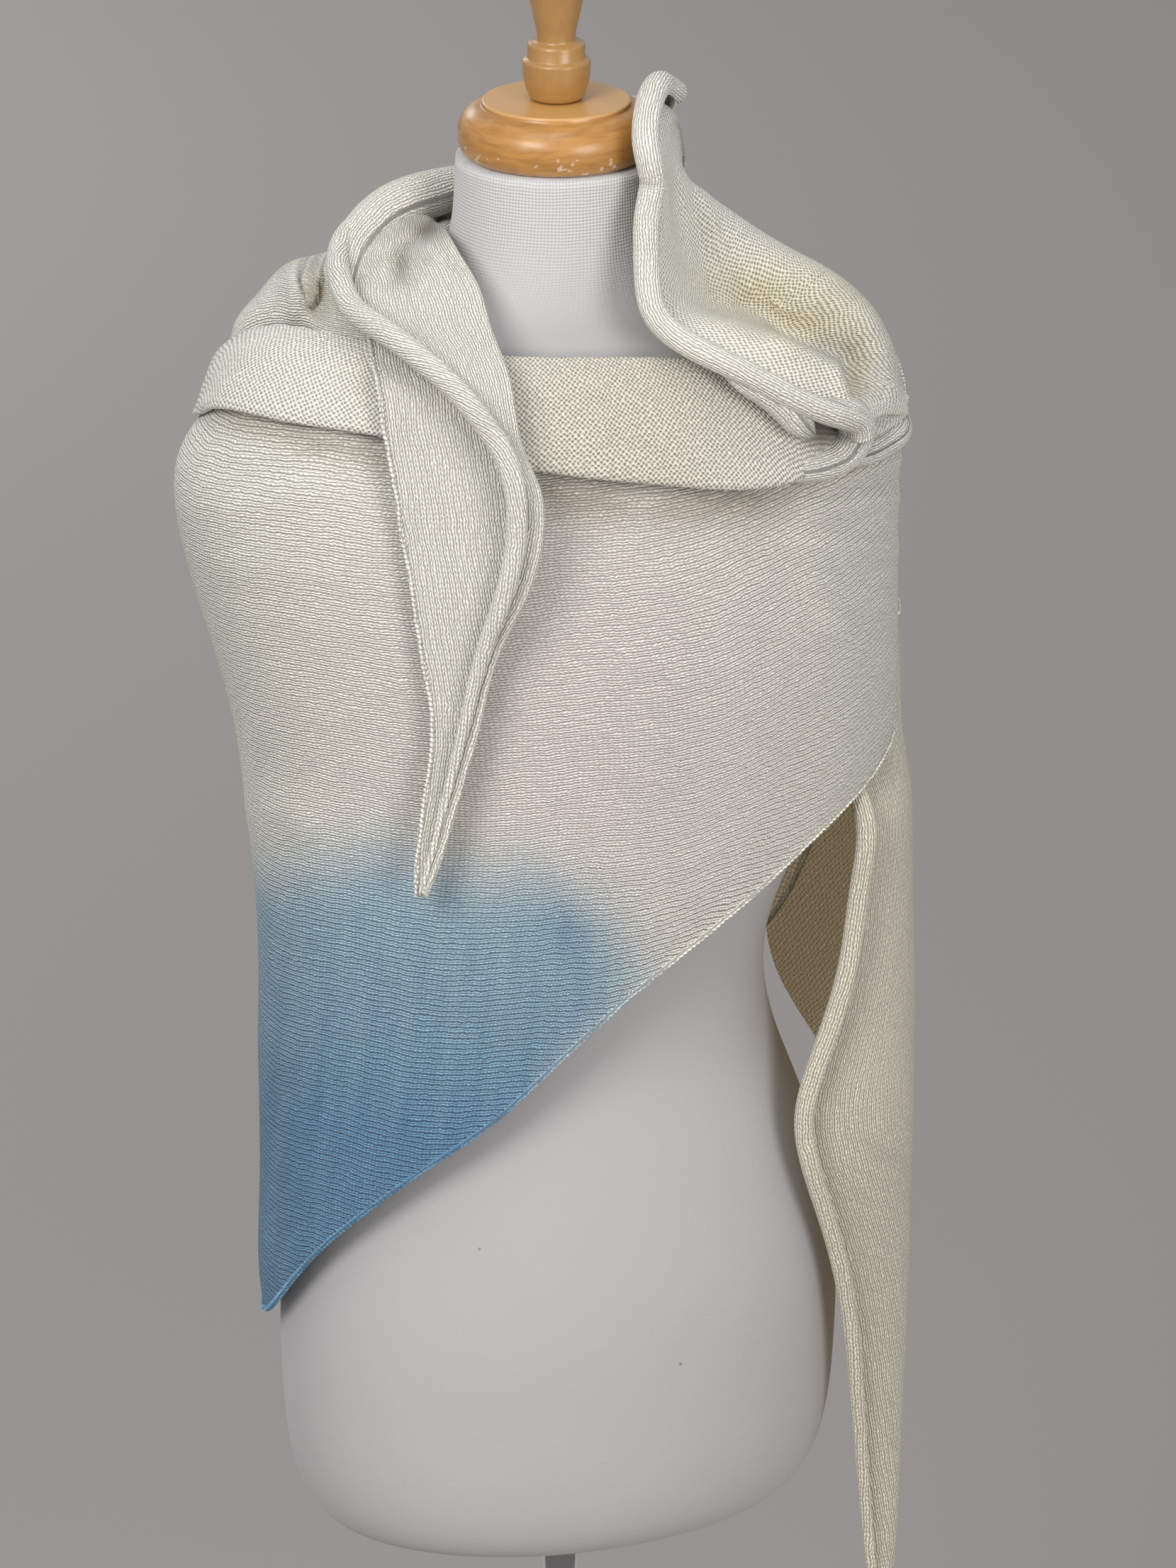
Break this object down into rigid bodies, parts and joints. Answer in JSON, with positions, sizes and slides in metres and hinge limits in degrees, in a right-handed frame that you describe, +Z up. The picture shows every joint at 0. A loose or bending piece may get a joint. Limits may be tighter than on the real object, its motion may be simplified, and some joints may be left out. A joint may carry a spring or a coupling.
{
  "type": "knitted wrap on dress form",
  "caption": "Fine knitted wrap with a dip-dyed corner, wound round the shoulders of a limbless padded dress form on a pole stand with a turned wooden neck cap.",
  "frame": {"origin": "centre of the stand's foot, on the floor", "axes": "+Z up the pole, +X to the viewer's right, and the viewer looks along +Y"},
  "size_m": [0.4271, 0.3426, 1.663],
  "materials": {
    "cream_knit": "fine wool stocking stitch",
    "dip_dyed_knit": "fine wool stocking stitch, cream fading to blue",
    "jersey": "white cotton jersey over padding",
    "wood": "honey lacquer",
    "pale_wood": "clear lacquer",
    "chrome": "polished",
    "base_enamel": "satin"
  },
  "bodies": {
    "root": {"front_panel": "dip_dyed_knit", "back_panel": "cream_knit", "cowl_band": "cream_knit", "shoulder_fold": "cream_knit", "front_tail": "cream_knit", "tail_roll": "cream_knit", "collar": "cream_knit", "neck_back": "cream_knit", "side_tail": "cream_knit", "torso": "jersey", "neck_cap": "wood", "finial": "pale_wood", "pole": "chrome", "base": "base_enamel"}
  },
  "joints": []
}
